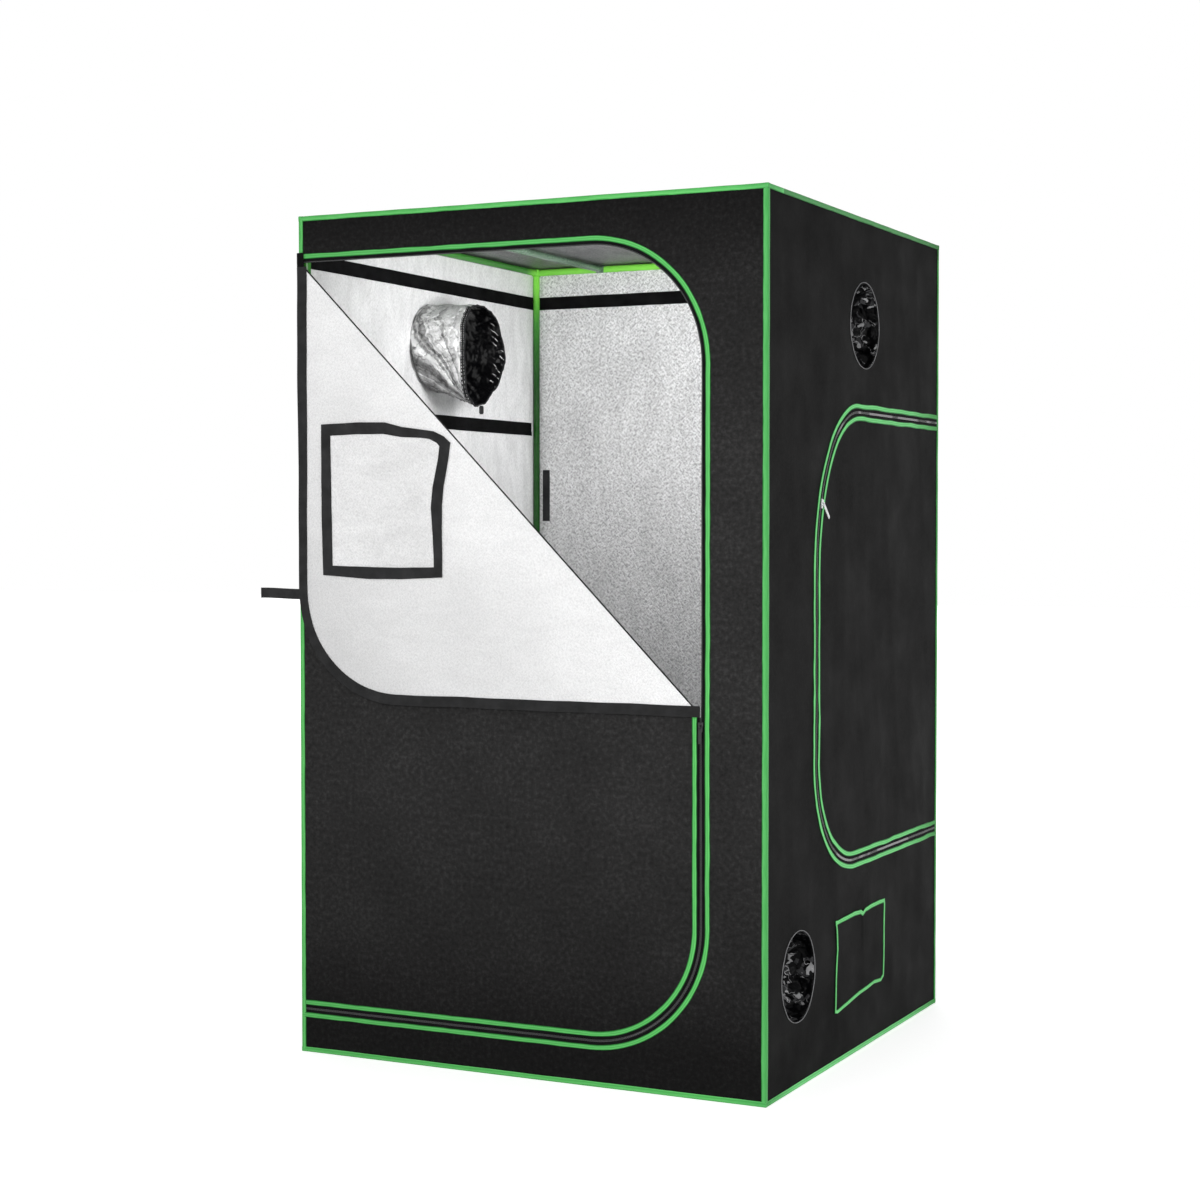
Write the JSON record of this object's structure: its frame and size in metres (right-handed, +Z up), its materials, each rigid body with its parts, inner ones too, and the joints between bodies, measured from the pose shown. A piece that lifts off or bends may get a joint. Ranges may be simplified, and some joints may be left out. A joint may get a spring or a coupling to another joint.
{
  "type": "indoor grow tent",
  "caption": "Cloth tent on a plug-together steel tube frame, with a folded-down front door, zipped side doors, duct socks, a flapped vent and hanging bars.",
  "frame": {"origin": "middle of the base sheet's underside, on the floor", "axes": "+X to the right as seen from the front doorway, +Y from the doorway to the back wall, +Z up"},
  "size_m": [1.3434, 1.2281, 2.03],
  "materials": {
    "black_cloth": "matt coated oxford weave",
    "green_tape": "woven tape",
    "green_enamel": "gloss enamel",
    "black_webbing": "matt webbing",
    "zip_black": "gloss",
    "zip_silver": "bright plated",
    "film": "silver film on cloth",
    "clear_sheet": "silver-backed clear sheet",
    "net": "woven net",
    "tray_cloth": "silver film on cloth"
  },
  "bodies": {
    "tent": {"base_sheet": "black_cloth", "bottom_rail_back": "green_enamel", "bottom_rail_front": "green_enamel", "bottom_rail_left": "green_enamel", "bottom_rail_right": "green_enamel", "cord_lock": "zip_black", "corner_bottom_back_left": "green_enamel", "corner_bottom_back_right": "green_enamel", "corner_bottom_front_left": "green_enamel", "corner_bottom_front_right": "green_enamel", "corner_top_back_left": "green_enamel", "corner_top_back_right": "green_enamel", "corner_top_front_left": "green_enamel", "corner_top_front_right": "green_enamel", "floor_tray": "tray_cloth", "green_binding": "green_tape", "inner_band": "black_webbing", "post_lower_back_left": "green_enamel", "post_lower_back_right": "green_enamel", "post_lower_front_left": "green_enamel", "post_lower_front_right": "green_enamel", "post_strap": "black_webbing", "post_upper_back_left": "green_enamel", "post_upper_back_right": "green_enamel", "post_upper_front_left": "green_enamel", "post_upper_front_right": "green_enamel", "roof_panel": "black_cloth", "sock_left": "film", "sock_right_lower": "film", "sock_right_upper": "film", "top_rail_back": "green_enamel", "top_rail_front": "green_enamel", "top_rail_left": "green_enamel", "top_rail_right": "green_enamel", "vent_net": "net", "wall_back": "black_cloth", "wall_front": "black_cloth", "wall_left": "black_cloth", "wall_right": "black_cloth"},
    "door": {"door_panel": "black_cloth", "door_binding": "green_tape"},
    "flap": {"door_flap": "film", "flap_binding": "green_tape", "window_pane": "clear_sheet", "window_trim": "black_webbing", "window_cover": "black_cloth"},
    "door_zip_slider": {"door_slider": "zip_black"},
    "door_zip_tab": {"door_pull": "zip_black"},
    "right_door": {"right_panel": "black_cloth", "right_panel_binding": "green_tape"},
    "right_zip_slider": {"right_slider": "zip_silver"},
    "right_zip_tab": {"right_pull": "zip_silver"},
    "left_door": {"left_panel": "black_cloth", "left_panel_binding": "green_tape"},
    "left_zip_slider": {"left_slider": "zip_silver"},
    "left_zip_tab": {"left_pull": "zip_silver"},
    "vent_cover": {"vent_flap": "black_cloth"},
    "left_bar": {"crossbar_left": "green_enamel"},
    "right_bar": {"crossbar_right": "green_enamel"},
    "tie": {"tie_strap": "black_webbing"}
  },
  "joints": [
    {"name": "door_swing", "type": "hinge", "parent": "tent", "child": "door", "pos_m": [-0.6045, -0.6145, 0.106], "axis": [0, 0, -1], "range_deg": [0, 150]},
    {"name": "door_fold", "type": "hinge", "parent": "door", "child": "flap", "pos_m": [0.655, -0.61095, 0.655], "axis": [-0.7071, 0, 0.7071], "range_deg": [0, 180]},
    {"name": "door_zip", "type": "slide", "parent": "door", "child": "door_zip_slider", "axis": [0, 0, 1], "range_m": [-0.43, 0]},
    {"name": "door_zip_pull", "type": "hinge", "parent": "door_zip_slider", "child": "door_zip_tab", "pos_m": [0.452, -0.6151, 0.8365], "axis": [-1, 0, 0], "range_deg": [0, 170]},
    {"name": "right_door_swing", "type": "hinge", "parent": "tent", "child": "right_door", "pos_m": [0.6105, 0.59785, 0.459], "axis": [0, 0, 1], "range_deg": [0, 150]},
    {"name": "right_zip", "type": "slide", "parent": "right_door", "child": "right_zip_slider", "axis": [0, 0.2527, 0.9675], "range_m": [-0.093, 0]},
    {"name": "right_zip_pull", "type": "hinge", "parent": "right_zip_slider", "child": "right_zip_tab", "pos_m": [0.6151, -0.27498, 1.33533], "axis": [0, -0.6691, -0.7431], "range_deg": [0, 170]},
    {"name": "left_door_swing", "type": "hinge", "parent": "tent", "child": "left_door", "pos_m": [-0.6105, 0.59785, 0.459], "axis": [0, 0, -1], "range_deg": [0, 150]},
    {"name": "left_zip", "type": "slide", "parent": "left_door", "child": "left_zip_slider", "axis": [0, 0.2527, 0.9675], "range_m": [-0.093, 0]},
    {"name": "left_zip_pull", "type": "hinge", "parent": "left_zip_slider", "child": "left_zip_tab", "pos_m": [-0.6151, -0.27498, 1.33533], "axis": [0, 0.6691, 0.7431], "range_deg": [0, 170]},
    {"name": "vent_flap_hinge", "type": "hinge", "parent": "tent", "child": "vent_cover", "pos_m": [0.611, -0.0025, 0.3463], "axis": [0, -1, 0], "range_deg": [0, 150]},
    {"name": "crossbar_left_slide", "type": "slide", "parent": "tent", "child": "left_bar", "axis": [1, 0, 0], "range_m": [-0.15, 0.3]},
    {"name": "crossbar_right_slide", "type": "slide", "parent": "tent", "child": "right_bar", "axis": [1, 0, 0], "range_m": [-0.3, 0.15]},
    {"name": "tie_strap_hinge", "type": "hinge", "parent": "tent", "child": "tie", "pos_m": [-0.6118, -0.6085, 1.1175], "axis": [0, 0, -1], "range_deg": [0, 88]}
  ]
}
